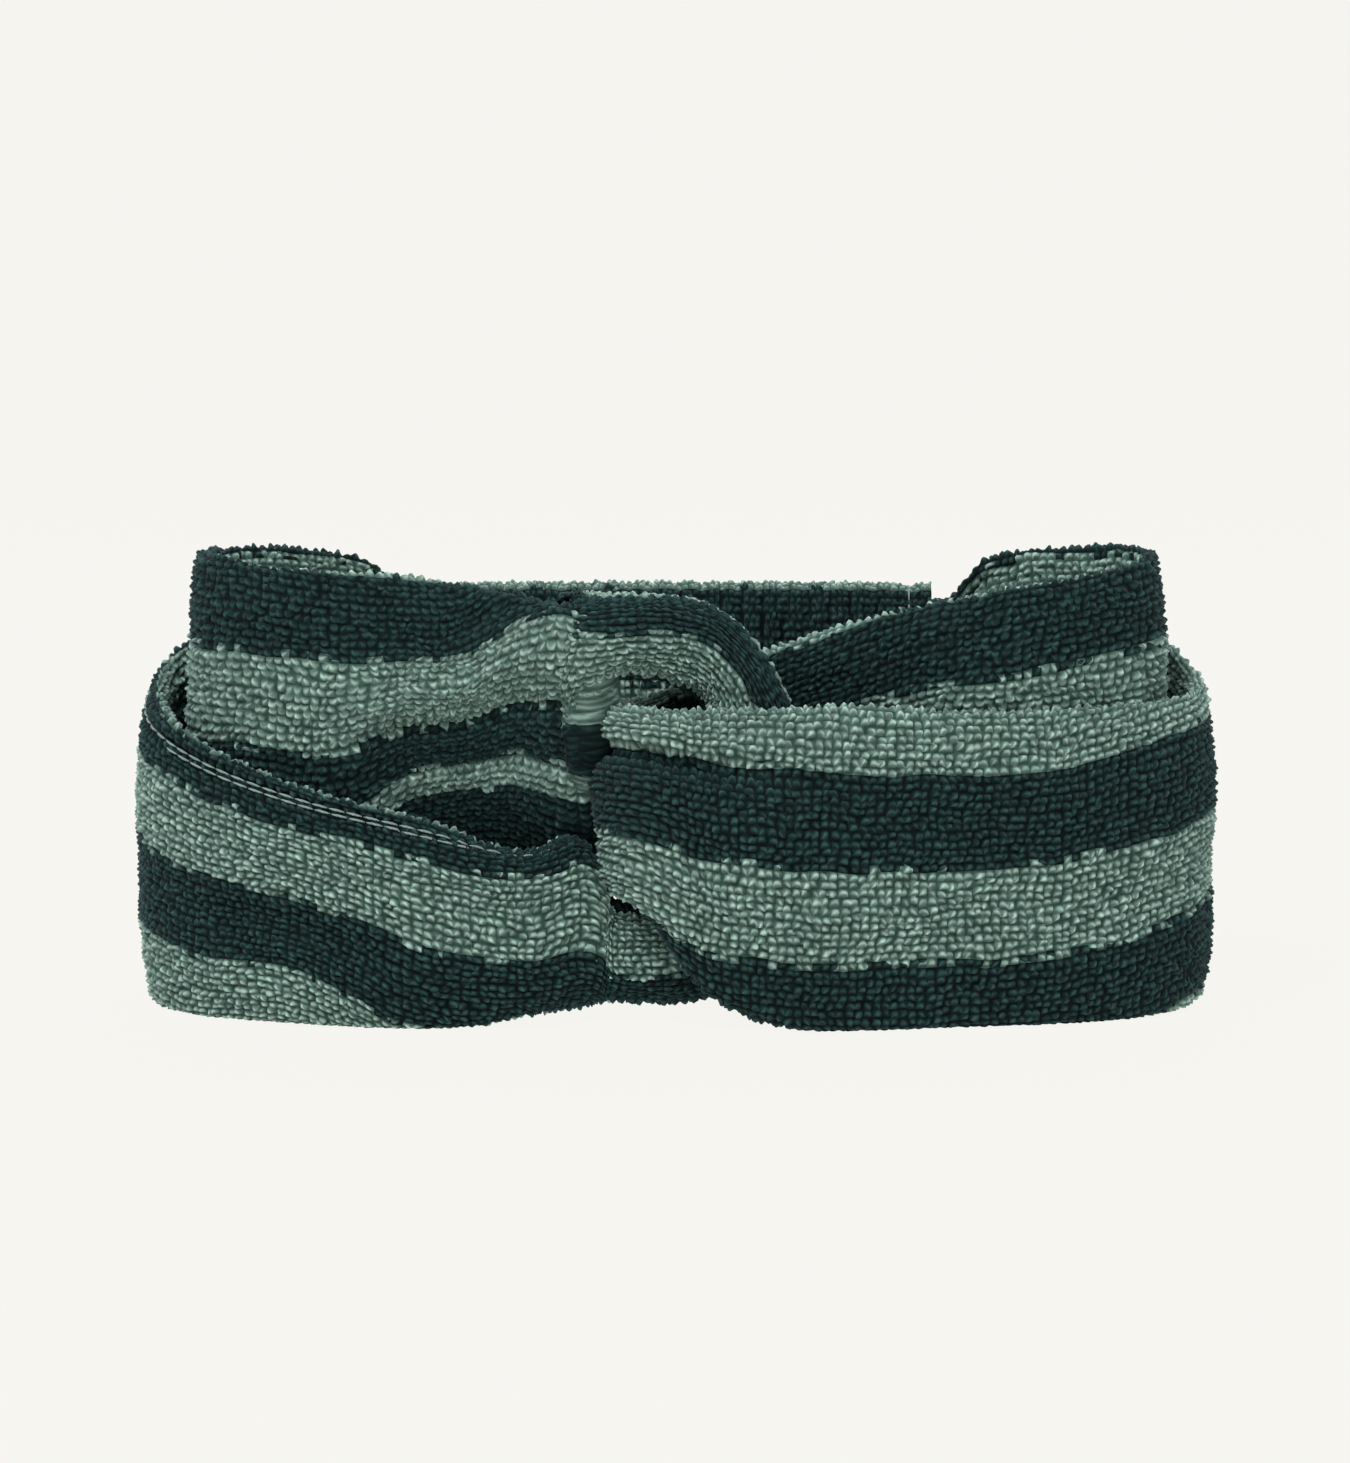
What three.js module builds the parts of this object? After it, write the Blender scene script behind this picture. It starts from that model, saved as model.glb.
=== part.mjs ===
// A twisted terry-towelling spa headband. Two flat cloth tubes, the left and the right loop, are linked
// like two links of a chain at the front. Both strands of each loop run round the side and end, pleated
// flat, inside the mouths of a gathered casing at the back, which hides an elastic strap.
// Millimetres. +X is right and -Y is towards the viewer of the knot, +Z is up, z = 0 is the table.
import * as THREE from "three";
import { mergeVertices } from "three/addons/utils/BufferGeometryUtils.js";

// Driving dimensions
const RING_WIDTH = 236;
const RING_DEPTH = 94;
const LOOP_HEIGHT = 98;
const STRAND_THICKNESS = 10;
const CASING_LENGTH = 114;
const CASING_HEIGHT = 58;
const CASING_WALL = 2.2;
const CASING_MIDDLE_Z = 59.5;
const TUCK_LENGTH = 10;
const MOUTH_MARGIN = 3;
const NECK_RUN = 17;
const NECK_THICKNESS = 6.5;
const PLEATED_WIDTH = 49;
const PLEATED_THICKNESS = 4.2;
const ELASTIC_WIDTH = 45;
const ELASTIC_THICKNESS = 1.6;
const TACK_MARGIN = 3;
const THREAD_THICKNESS = 0.9;
const STITCH_GAP = 0.35;
const LAYER_GAP = 0.8;

// The knot: the right loop's front strand, its fold through the left loop's eye, and its back strand,
// with the left loop's bend between them.
const FRONT_STRAND_THICKNESS = 13;
const FRONT_STRAND_HEIGHT = 69.5;
const FOLD_REACH = 19;
const FOLD_LOW = 26.5;
const UNDER_LOW = 4;
const BACK_STRAND_THICKNESS = 10.5;
const BEND_WIDTH = 14.4;
const BEND_THICKNESS = 17;
const BEND_REACH = 28;
const HUMP_HEIGHT = 91;
const KNOT_GAP = 0.7;
const TABLE_PRESS = 1.5;

// Heights of each strand's low and high edge at the neck, where it leaves the casing.
const OUTER_NECK = [27, 84];
const INNER_NECK = [29, LOOP_HEIGHT - 4];

// Where each loop's closing seam lies: its angle round the section and the shares of the length.
const SEAM_ANGLE = 0.9;
const LEFT_SEAM_RUN = [0.14, 0.36];
const RIGHT_SEAM_RUN = [0.7, 0.88];

// Smoothness of the surfaces
const RING_POWER = 2.5;
const SECTION_POWER = 2.6;
const CASING_POWER = 4;
const STRAND_SIDES = 20;
const STRAND_STEPS = 84;
const CASING_STEPS = 28;
const THREAD_SIDES = 6;
const STITCH_STEPS = 40;

const UP = new THREE.Vector3(0, 0, 1);
const CASING_HALF_HOLLOW = PLEATED_THICKNESS + LAYER_GAP / 2 + 2 * STITCH_GAP;
const CASING_THICKNESS = 2 * (CASING_HALF_HOLLOW + CASING_WALL);
const RING_HALF_WIDTH = (RING_WIDTH - STRAND_THICKNESS) / 2;
const RING_HALF_DEPTH = (RING_DEPTH - FRONT_STRAND_THICKNESS) / 2;
const INNER_INSET = STRAND_THICKNESS + LAYER_GAP;
const NECK_INSET = NECK_THICKNESS + LAYER_GAP;

const FRONT_Y = -RING_HALF_DEPTH;
const BEND_Y = FRONT_Y + FRONT_STRAND_THICKNESS / 2 + KNOT_GAP + BEND_WIDTH / 2;
const BACK_Y = BEND_Y + BEND_WIDTH / 2 + KNOT_GAP + BACK_STRAND_THICKNESS / 2;
const BEND_X = BEND_REACH - BEND_THICKNESS / 2;

const signedPower = (value, power) => Math.sign(value) * Math.abs(value) ** power;

// A place along a strand: its middle, the direction its width runs in, its width and its thickness.
const station = (x, y, z, wide, width, thickness) => ({
  middle: new THREE.Vector3(x, y, z),
  wide: new THREE.Vector3(...wide),
  width,
  thickness,
});

// A station whose width stands upright between two heights.
const upright = (x, y, low, high, thickness, down = false) =>
  station(x, y, (low + high) / 2, [0, 0, down ? -1 : 1], high - low, thickness);

// A point of the ring's plan, a rounded oval, at an angle from the side: 90 is the back, -90 the front.
function ringPoint(side, angle, inset) {
  const turn = THREE.MathUtils.degToRad(angle);
  const reach = 2 / RING_POWER;
  return [
    side * (RING_HALF_WIDTH - inset) * signedPower(Math.cos(turn), reach),
    (RING_HALF_DEPTH - inset) * signedPower(Math.sin(turn), reach),
  ];
}

// Upright stations round one side of the ring, from rows of [angle, low edge, high edge].
const roundSide = (side, inset, rows, down = false) =>
  rows.map(([angle, low, high]) =>
    upright(...ringPoint(side, angle, inset), low, high, STRAND_THICKNESS, down),
  );

// The casing's middle line follows the back of the ring.
function casingY(x) {
  const share = Math.abs(x / RING_HALF_WIDTH) ** RING_POWER;
  return (RING_DEPTH - CASING_THICKNESS) / 2 - RING_HALF_DEPTH * (1 - (1 - share) ** (1 / RING_POWER));
}

// The pleated end of a strand, pressed flat inside the casing's mouth, on its outer or inner side.
function pleatedEnd(side, layer, down = false) {
  const offset = layer * (PLEATED_THICKNESS + LAYER_GAP) / 2;
  const low = CASING_MIDDLE_Z - PLEATED_WIDTH / 2;
  const mouth = CASING_LENGTH / 2;
  return [mouth - TUCK_LENGTH, mouth + MOUTH_MARGIN].map((x) =>
    upright(side * x, casingY(x) + offset, low, low + PLEATED_WIDTH, PLEATED_THICKNESS, down),
  );
}

// At the neck, a short run outside the casing's mouth, a strand has swollen from its pleats.
const NECK_SHARE = (CASING_LENGTH / 2 + NECK_RUN) / RING_HALF_WIDTH;
const NECK_ANGLE = THREE.MathUtils.radToDeg(Math.acos(NECK_SHARE ** (RING_POWER / 2)));
const neck = (side, inset, edges, down = false) =>
  upright(...ringPoint(side, NECK_ANGLE, inset), ...edges, NECK_THICKNESS, down);

// From the neck to the widest point both sides are the same: [share of the way back, low, high].
const backRows = (rows) => rows.map(([share, low, high]) => [share * NECK_ANGLE, low, high]);
const OUTER_BACK = backRows([
  [0.74, 15, 81],
  [0.44, 8, 78],
  [0.11, 3, 71.5],
]);
const INNER_BACK = backRows([
  [0.74, 25, LOOP_HEIGHT - 1],
  [0.44, 24, LOOP_HEIGHT],
  [0.11, 24, LOOP_HEIGHT],
]);

// The front half of each side: [angle, low, high].
const LEFT_LOWER_FRONT = [
  [-12, 0, 65],
  [-32, -TABLE_PRESS, 58],
  [-50, -TABLE_PRESS, 51],
  [-66, -TABLE_PRESS, 45],
];
const LEFT_UPPER_FRONT = [
  [-50, 27, LOOP_HEIGHT - 2.5],
  [-32, 25, LOOP_HEIGHT - 1],
  [-12, 24, LOOP_HEIGHT],
];
const RIGHT_FRONT = [
  [-12, 1, FRONT_STRAND_HEIGHT],
  [-32, -TABLE_PRESS, FRONT_STRAND_HEIGHT - 1],
  [-50, -TABLE_PRESS, FRONT_STRAND_HEIGHT - 1.5],
  [-66, -TABLE_PRESS, FRONT_STRAND_HEIGHT - 1],
];
const RIGHT_BACK = [
  [-52, 24, LOOP_HEIGHT - 6],
  [-32, 24, LOOP_HEIGHT - 3],
  [-12, 24, LOOP_HEIGHT - 1],
];

// The left loop's bend: under the right loop's fold, up between its two strands and back over it. Its
// width points at the eye all the way round.
function leftBend() {
  const top = FRONT_STRAND_HEIGHT + KNOT_GAP;
  const humpWidth = HUMP_HEIGHT - top;
  const hump = (HUMP_HEIGHT + top) / 2;
  const underWidth = FOLD_LOW - KNOT_GAP - UNDER_LOW;
  const under = UNDER_LOW + underWidth / 2;
  return [
    station(-FOLD_REACH - 15, BEND_Y - 7, under + 4.5, [0, 0.1, 1], 35, 15),
    station(-FOLD_REACH + 2, BEND_Y + 0.5, under, [0, 0.1, 1], underWidth, BEND_WIDTH + 1),
    station(5, BEND_Y, under + 1, [-0.3, 0, 1], underWidth, BEND_WIDTH),
    station(BEND_X - 2, BEND_Y, 30, [-1, 0, 0.3], BEND_THICKNESS, BEND_WIDTH),
    station(BEND_X, BEND_Y, 46, [-1, 0, 0], BEND_THICKNESS, BEND_WIDTH),
    station(BEND_X - 3, BEND_Y, 63, [-1, 0, -0.4], BEND_THICKNESS, BEND_WIDTH),
    station(5, BEND_Y, hump - 1, [-0.2, 0, -1], humpWidth - 2, BEND_WIDTH + 1),
    station(-FOLD_REACH + 0.5, BEND_Y - 2.5, hump + 0.4, [0, 0.1, -1], humpWidth, 27),
    station(-FOLD_REACH - 8, BEND_Y + 5, hump - 23, [0, 0.3, -0.95], 68, 13),
    station(-FOLD_REACH - 17, BEND_Y + 5.5, hump - 21.5, [0, 0.28, -0.96], 67, 12.5),
    station(-FOLD_REACH - 27, BEND_Y + 4.5, hump - 20.5, [0, 0.2, -0.98], 66, 12),
    station(-FOLD_REACH - 38, BEND_Y + 3.3, hump - 19.5, [0, 0.08, -1], 67, 11.5),
  ];
}

// The right loop's fold: along the front, round the left loop's bend and back behind it.
function rightFold() {
  const high = FRONT_STRAND_HEIGHT;
  const foldX = FRONT_STRAND_THICKNESS / 2 - FOLD_REACH;
  const thick = FRONT_STRAND_THICKNESS;
  const thin = BACK_STRAND_THICKNESS;
  return [
    upright(30, FRONT_Y, -TABLE_PRESS, high, thick),
    upright(8, FRONT_Y, 6, high, thick),
    upright(foldX + 6, FRONT_Y + 2.5, FOLD_LOW - 3, high, thick),
    upright(foldX, BEND_Y, FOLD_LOW, high - 0.8, thick),
    upright(foldX + 6, BACK_Y - 2.5, FOLD_LOW, high - 0.8, thin + 1),
    upright(6, BACK_Y, FOLD_LOW - 1, high + 3, thin),
    upright(23, BACK_Y, FOLD_LOW - 1, high + 10, thin),
    upright(46, BACK_Y - 6, FOLD_LOW - 2, high + 18, thin),
  ];
}

// A strand is a flat tube of cloth along a smooth line through its stations.
function strandThrough(stations) {
  const smooth = (points) => new THREE.CatmullRomCurve3(points, false, "catmullrom", 0.5);
  const line = smooth(stations.map((s) => s.middle));
  const lean = smooth(stations.map((s) => s.wide));
  const size = smooth(stations.map((s) => new THREE.Vector3(s.width, s.thickness, 0)));
  const frameAt = (share) => {
    const wide = lean.getPoint(share).normalize();
    const out = line.getTangent(share).cross(wide).normalize();
    const { x: width, y: thickness } = size.getPoint(share);
    return { middle: line.getPoint(share), wide, out, width, thickness };
  };
  // A point of the surface, lifted off it; an angle of 0 is the outer face and 90 degrees the far edge.
  return (share, angle, lift = 0, reach = 1) => {
    const { middle, wide, out, width, thickness } = frameAt(share);
    const round = 2 / SECTION_POWER;
    const outwards = (reach * thickness / 2 + lift) * signedPower(Math.cos(angle), round);
    const sideways = (reach * width / 2 + lift) * signedPower(Math.sin(angle), round);
    const point = middle.addScaledVector(out, outwards).addScaledVector(wide, sideways);
    return point.setZ(Math.max(point.z, 0));
  };
}

// Moves every point of a round shape about the Y axis to place(height, angle, reach).
function reshape(geometry, place) {
  geometry.deleteAttribute("normal");
  geometry.deleteAttribute("uv");
  const corners = geometry.getAttribute("position");
  const corner = new THREE.Vector3();
  for (let i = 0; i < corners.count; i += 1) {
    corner.fromBufferAttribute(corners, i);
    const reach = Math.hypot(corner.x, corner.z);
    const moved = place(corner.y, Math.atan2(corner.x, corner.z), reach);
    corners.setXYZ(i, moved.x, moved.y, moved.z);
  }
  const merged = mergeVertices(geometry, 1e-4);
  merged.computeVertexNormals();
  return merged;
}

// A solid strand: a unit cylinder laid along it.
function strandSolid(surface) {
  const cylinder = new THREE.CylinderGeometry(1, 1, 1, STRAND_SIDES, STRAND_STEPS);
  return reshape(cylinder, (height, angle, reach) => surface(0.5 - height, angle, 0, reach));
}

// The casing's section at a place along it, drawn out to its outer face and lifted off it.
function casingSurface(along, angle, lift = 0) {
  const x = along * CASING_LENGTH;
  const round = 2 / CASING_POWER;
  const outwards = (CASING_THICKNESS / 2 + lift) * signedPower(Math.cos(angle), round);
  const sideways = (CASING_HEIGHT / 2 + lift) * signedPower(Math.sin(angle), round);
  return new THREE.Vector3(x, casingY(x) + outwards, CASING_MIDDLE_Z + sideways);
}

// The casing is a tube of cloth, open at both mouths: a turned ring profile laid along the back.
function casingSolid() {
  const outer = [];
  for (let i = 0; i <= CASING_STEPS; i += 1) outer.push(i / CASING_STEPS - 0.5);
  const inner = [...outer].reverse();
  const profile = [
    ...outer.map((height) => new THREE.Vector2(2, height)),
    ...inner.map((height) => new THREE.Vector2(1, height)),
    new THREE.Vector2(2, outer[0]),
  ];
  const ring = new THREE.LatheGeometry(profile, STRAND_SIDES);
  return reshape(ring, (height, angle, reach) =>
    casingSurface(height, angle, (reach - 2) * CASING_WALL),
  );
}

// The elastic strap lies flat inside the casing, between the pleated ends.
function elasticSolid() {
  const length = CASING_LENGTH - 2 * (TUCK_LENGTH + LAYER_GAP);
  const strap = new THREE.BoxGeometry(length, ELASTIC_THICKNESS, ELASTIC_WIDTH, CASING_STEPS, 1, 1);
  const corners = strap.getAttribute("position");
  for (let i = 0; i < corners.count; i += 1) {
    corners.setY(i, corners.getY(i) + casingY(corners.getX(i)));
    corners.setZ(i, corners.getZ(i) + CASING_MIDDLE_Z);
  }
  strap.computeVertexNormals();
  return strap;
}

// A thread is a thin round cord along a smooth line.
function threadSolid(points, steps) {
  const section = new THREE.Shape();
  section.absarc(0, 0, THREAD_THICKNESS / 2, 0, 2 * Math.PI);
  return new THREE.ExtrudeGeometry(section, {
    extrudePath: new THREE.CatmullRomCurve3(points),
    steps,
    curveSegments: THREAD_SIDES,
  });
}

// A row of stitches lying along a strand's face, between two shares of its length.
function seamThread(surface, angle, [from, to]) {
  const lift = STITCH_GAP + THREAD_THICKNESS / 2;
  const points = [];
  for (let i = 0; i <= STITCH_STEPS; i += 1) {
    points.push(surface(from + (to - from) * (i / STITCH_STEPS), angle, lift));
  }
  return threadSolid(points, STITCH_STEPS);
}

// The stitches that close the casing run along the middle of its inner face.
function casingSeam() {
  const lift = STITCH_GAP + THREAD_THICKNESS / 2;
  const reach = 0.5 - 2 * TUCK_LENGTH / CASING_LENGTH;
  const points = [];
  for (let i = 0; i <= STITCH_STEPS; i += 1) {
    points.push(casingSurface(reach * (2 * i / STITCH_STEPS - 1), Math.PI, lift));
  }
  return threadSolid(points, STITCH_STEPS);
}

// The stitches that hold the pleated ends run all round the casing, a little in from its mouth.
function joinStitch(side) {
  const lift = STITCH_GAP + THREAD_THICKNESS / 2;
  const along = side * (0.5 - TUCK_LENGTH / 2 / CASING_LENGTH);
  const ring = new THREE.TorusGeometry(1, THREAD_THICKNESS / 2, THREAD_SIDES, STITCH_STEPS);
  ring.rotateX(Math.PI / 2);
  return reshape(ring, (height, angle, reach) =>
    casingSurface(along + height / CASING_LENGTH, angle, lift + reach - 1),
  );
}

// A bar of stitches down each end of the elastic strap.
function elasticTack(side) {
  const x = side * (CASING_LENGTH / 2 - TUCK_LENGTH - TACK_MARGIN);
  const y = casingY(x) - (ELASTIC_THICKNESS + THREAD_THICKNESS) / 2 - STITCH_GAP;
  const half = ELASTIC_WIDTH / 2 - TACK_MARGIN;
  const ends = [CASING_MIDDLE_Z - half, CASING_MIDDLE_Z + half];
  return threadSolid(ends.map((z) => new THREE.Vector3(x, y, z)), 1);
}

const cloth = (colour) =>
  new THREE.MeshStandardMaterial({ color: colour, roughness: 1, metalness: 0 });
const sage = () => cloth("#8baa9c");
const teal = () => cloth("#1c3c3c");
const elasticWhite = () => cloth("#d9d7cf");
const threadGrey = () => cloth("#a9bdb4");

function piece(name, geometry, material) {
  const mesh = new THREE.Mesh(geometry, material);
  mesh.name = name;
  return mesh;
}

const LEFT = -1;
const RIGHT = 1;
const OUTER = 1;
const INNER = -1;
const reversed = (list) => [...list].reverse();

const leftStrand = strandThrough([
  ...pleatedEnd(LEFT, OUTER),
  neck(LEFT, 0, OUTER_NECK),
  ...roundSide(LEFT, 0, [...OUTER_BACK, ...LEFT_LOWER_FRONT]),
  ...leftBend(),
  ...roundSide(LEFT, INNER_INSET, [...LEFT_UPPER_FRONT, ...reversed(INNER_BACK)], true),
  neck(LEFT, NECK_INSET, INNER_NECK, true),
  ...reversed(pleatedEnd(LEFT, INNER, true)),
]);
const rightStrand = strandThrough([
  ...pleatedEnd(RIGHT, OUTER),
  neck(RIGHT, 0, OUTER_NECK),
  ...roundSide(RIGHT, 0, [...OUTER_BACK, ...RIGHT_FRONT]),
  ...rightFold(),
  ...roundSide(RIGHT, INNER_INSET, [...RIGHT_BACK, ...reversed(INNER_BACK)]),
  neck(RIGHT, NECK_INSET, INNER_NECK),
  ...reversed(pleatedEnd(RIGHT, INNER)),
]);

const leftSeam = seamThread(leftStrand, SEAM_ANGLE, LEFT_SEAM_RUN);
const rightSeam = seamThread(rightStrand, Math.PI + SEAM_ANGLE, RIGHT_SEAM_RUN);

const headband = new THREE.Group();
headband.add(
  piece("left_loop", strandSolid(leftStrand), teal()),
  piece("right_loop", strandSolid(rightStrand), sage()),
  piece("rear_casing", casingSolid(), teal()),
  piece("elastic_strap", elasticSolid(), elasticWhite()),
  piece("left_loop_seam_thread", leftSeam, threadGrey()),
  piece("right_loop_seam_thread", rightSeam, threadGrey()),
  piece("casing_seam_thread", casingSeam(), threadGrey()),
  piece("left_join_stitch", joinStitch(LEFT), threadGrey()),
  piece("right_join_stitch", joinStitch(RIGHT), threadGrey()),
  piece("left_elastic_tack", elasticTack(LEFT), threadGrey()),
  piece("right_elastic_tack", elasticTack(RIGHT), threadGrey()),
);

// The origin is on the table, under the middle of the outline.
const outline = new THREE.Box3().setFromObject(headband).getCenter(new THREE.Vector3());
headband.position.set(-outline.x, -outline.y, 0);

export default headband;
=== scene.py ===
"""A twisted terry-towelling spa headband: two linked cloth loops and a gathered elastic casing."""
import math

import bmesh
import bpy
import numpy as np
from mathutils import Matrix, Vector


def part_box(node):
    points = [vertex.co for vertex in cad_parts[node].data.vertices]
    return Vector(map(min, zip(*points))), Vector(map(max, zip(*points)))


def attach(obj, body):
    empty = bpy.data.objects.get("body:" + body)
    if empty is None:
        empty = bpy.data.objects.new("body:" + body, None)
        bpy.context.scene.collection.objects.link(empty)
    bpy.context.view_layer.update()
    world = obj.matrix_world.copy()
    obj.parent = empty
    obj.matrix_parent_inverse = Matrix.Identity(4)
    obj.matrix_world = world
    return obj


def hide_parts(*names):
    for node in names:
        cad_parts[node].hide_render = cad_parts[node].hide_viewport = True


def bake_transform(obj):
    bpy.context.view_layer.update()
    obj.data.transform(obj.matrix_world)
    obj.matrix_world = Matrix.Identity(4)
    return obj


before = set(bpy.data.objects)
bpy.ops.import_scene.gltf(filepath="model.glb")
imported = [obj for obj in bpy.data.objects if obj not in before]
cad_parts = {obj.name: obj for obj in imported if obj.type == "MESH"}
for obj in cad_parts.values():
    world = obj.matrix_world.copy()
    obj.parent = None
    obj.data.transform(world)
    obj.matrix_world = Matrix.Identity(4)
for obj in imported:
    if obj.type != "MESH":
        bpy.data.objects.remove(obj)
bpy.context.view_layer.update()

MM = 0.001
BODY_FRONT, BODY_REAR = "front_wrap", "rear_band"
LEFT, RIGHT = -1, 1
OUTER, INNER = 1, -1


def box_mm(node):
    """A CAD node's lowest and highest corner in millimetres."""
    low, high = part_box(node)
    return np.array(low) / MM, np.array(high) / MM


# Sizes in millimetres. The outline comes from the frame, the cloth's own sizes are set here.
LEFT_HIGH = box_mm("left_loop")[1]
RIGHT_LOW, RIGHT_HIGH = box_mm("right_loop")
CASING_LOW, CASING_HIGH = box_mm("rear_casing")
LOOP_TOP = LEFT_HIGH[2]
STRAND_THICKNESS = 10.0
NECK_THICKNESS = 6.5
NECK_RUN = 17.0
FRONT_THICKNESS = 13.0
BACK_THICKNESS = 10.5
LAYER_GAP = 0.8
KNOT_GAP = 0.7
BEND_WIDTH = 14.4
BEND_THICKNESS = 17.0
FRONT_HEIGHT = 68.8
FOLD_LOW = 26.5
UNDER_LOW = 4.0
HUMP_TOP = 91.0
PLEATED_WIDTH = 49.0
PLEATED_THICKNESS = 4.2
TUCK_LENGTH = 10.0
MOUTH_MARGIN = 3.0
TABLE_PRESS = 1.5

CASING_LENGTH = CASING_HIGH[0] - CASING_LOW[0]
CASING_HEIGHT = CASING_HIGH[2] - CASING_LOW[2]
CASING_MIDDLE_Z = (CASING_HIGH[2] + CASING_LOW[2]) / 2
CASING_THICKNESS = 15.0
ELASTIC_WIDTH = 45.0
ELASTIC_THICKNESS = 1.6
RING_POWER = 2.5
RING_HALF_WIDTH = RIGHT_HIGH[0] - STRAND_THICKNESS / 2
RING_HALF_DEPTH = 40.5
FRONT_Y = RIGHT_LOW[1] + FRONT_THICKNESS / 2
RING_MIDDLE_Y = FRONT_Y + RING_HALF_DEPTH
INNER_INSET = STRAND_THICKNESS + LAYER_GAP
NECK_INSET = NECK_THICKNESS + LAYER_GAP
NECK_SHARE = (CASING_LENGTH / 2 + NECK_RUN) / RING_HALF_WIDTH
NECK_ANGLE = math.degrees(math.acos(NECK_SHARE ** (RING_POWER / 2)))
BEND_Y = FRONT_Y + FRONT_THICKNESS / 2 + KNOT_GAP + BEND_WIDTH / 2
BACK_Y = BEND_Y + BEND_WIDTH / 2 + KNOT_GAP + BACK_THICKNESS / 2
BEND_X = LEFT_HIGH[0] - BEND_THICKNESS / 2
FOLD_X = RIGHT_LOW[0] + FRONT_THICKNESS / 2
FOLD_EDGE = RIGHT_LOW[0]

# The terry cloth: knitted loops in rows, striped along each tube, and the seam at 0 mm round.
LOOPS_ROUND = 84
CLOTH_ROUND = 150.0
LOOP_ALONG = 1.9
LOOP_ACROSS = CLOTH_ROUND / LOOPS_ROUND
CASING_LOOPS_ROUND = 66
POINTS_ALONG, POINTS_ACROSS = ((4, 4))
PILE_HEIGHT = 1.5
ROW_SHIFT = 0.12
PILE_INSET = 0.9
TABLE_CLEARANCE = 0.2
PRESS_SOFTNESS, PRESS_REACH = 0.5, 4.0
RANDOM_ROWS = 613


# ---------------------------------------------------------------- helpers for curves and noise

def spline(rows, at):
    """Smooth values at positions counted in rows, through every row."""
    rows = np.asarray(rows, float)
    ends = [2 * rows[:1] - rows[1:2], rows, 2 * rows[-1:] - rows[-2:-1]]
    padded = np.concatenate(ends)
    at = np.clip(at, 0, len(rows) - 1)
    first = np.minimum(at.astype(int), len(rows) - 2)
    t = (at - first)[:, None]
    a, b, c, d = (padded[first + k] for k in range(4))
    slope_b, slope_c = (c - a) / 2, (d - b) / 2
    return (
        (2 * t**3 - 3 * t**2 + 1) * b
        + (t**3 - 2 * t**2 + t) * slope_b
        + (3 * t**2 - 2 * t**3) * c
        + (t**3 - t**2) * slope_c
    )


NOISE_CELLS = 97


def soft_noise(u, v, lump, seed, wrap=None):
    """Smooth noise on a grid of points. A lump is its greatest height, its length and its width."""
    height, size_u, size_v = lump
    table = np.random.default_rng(seed).uniform(-1, 1, (NOISE_CELLS, NOISE_CELLS))
    count = max(2, round(wrap / size_v)) if wrap else NOISE_CELLS
    x, y = u / size_u, (v / wrap * count if wrap else v / size_v)
    i, j = np.floor(x).astype(int), np.floor(y).astype(int)
    fx, fy = x - i, y - j
    fx, fy = fx * fx * (3 - 2 * fx), fy * fy * (3 - 2 * fy)
    i0, i1 = i % NOISE_CELLS, (i + 1) % NOISE_CELLS
    j0, j1 = j % count % NOISE_CELLS, (j + 1) % count % NOISE_CELLS
    low = table[i0, j0] * (1 - fx) + table[i1, j0] * fx
    high = table[i0, j1] * (1 - fx) + table[i1, j1] * fx
    return height * (low * (1 - fy) + high * fy)


def smooth_step(value):
    """0 below 0, 1 above 1 and smooth between."""
    value = np.clip(value, 0, 1)
    return value * value * (3 - 2 * value)


def signed_power(value, power):
    return np.sign(value) * np.abs(value) ** power


def unit(vectors):
    return vectors / np.linalg.norm(vectors, axis=-1, keepdims=True)


# ---------------------------------------------------------------- the two strands' stations
# A station is a place along a strand: its middle, its width's direction, its width and thickness, and how
# the cloth lies there. Roll is how far the cloth is turned round the section. Bunch, from -1 to 1, moves
# cloth from the outer face to the inner one. Curl bends the section's edges back. Ribs, from 0 to 1, draw
# the loops out into ridges.

def station(x, y, z, wide, width, thickness, roll=0.0, bunch=0.0, curl=0.0, ribs=0.0):
    return [x, y, z, *wide, width, thickness, roll, bunch, curl, ribs]


def upright(x, y, low, high, thickness, down=False, **lie):
    wide = (0, 0, -1 if down else 1)
    return station(x, y, (low + high) / 2, wide, high - low, thickness, **lie)


def ring_point(side, angle, inset):
    """A point of the ring's plan, a rounded oval: angle 90 is the back and -90 the front."""
    turn, reach = math.radians(angle), 2 / RING_POWER
    x = (RING_HALF_WIDTH - inset) * math.cos(turn) ** reach
    y = (RING_HALF_DEPTH - inset) * math.copysign(abs(math.sin(turn)) ** reach, turn)
    return side * x, RING_MIDDLE_Y + y


def round_side(side, inset, rows, down=False):
    """Stations round one side of the ring from rows of angle, low edge, high edge and roll."""
    return [
        upright(*ring_point(side, angle, inset), low, high, STRAND_THICKNESS, down, roll=roll)
        for angle, low, high, roll in rows
    ]


def neck(side, inset, low, high, roll, down=False):
    """Outside the casing's mouth, where a strand has swollen from its pleats."""
    place = ring_point(side, NECK_ANGLE, inset)
    return upright(*place, low, high, NECK_THICKNESS, down, roll=roll)


def casing_y(x):
    """The casing's middle line follows the back of the ring."""
    share = (np.abs(x) / RING_HALF_WIDTH) ** RING_POWER
    bow = RING_HALF_DEPTH * (1 - (1 - share) ** (1 / RING_POWER))
    return CASING_HIGH[1] - CASING_THICKNESS / 2 - bow


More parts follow.
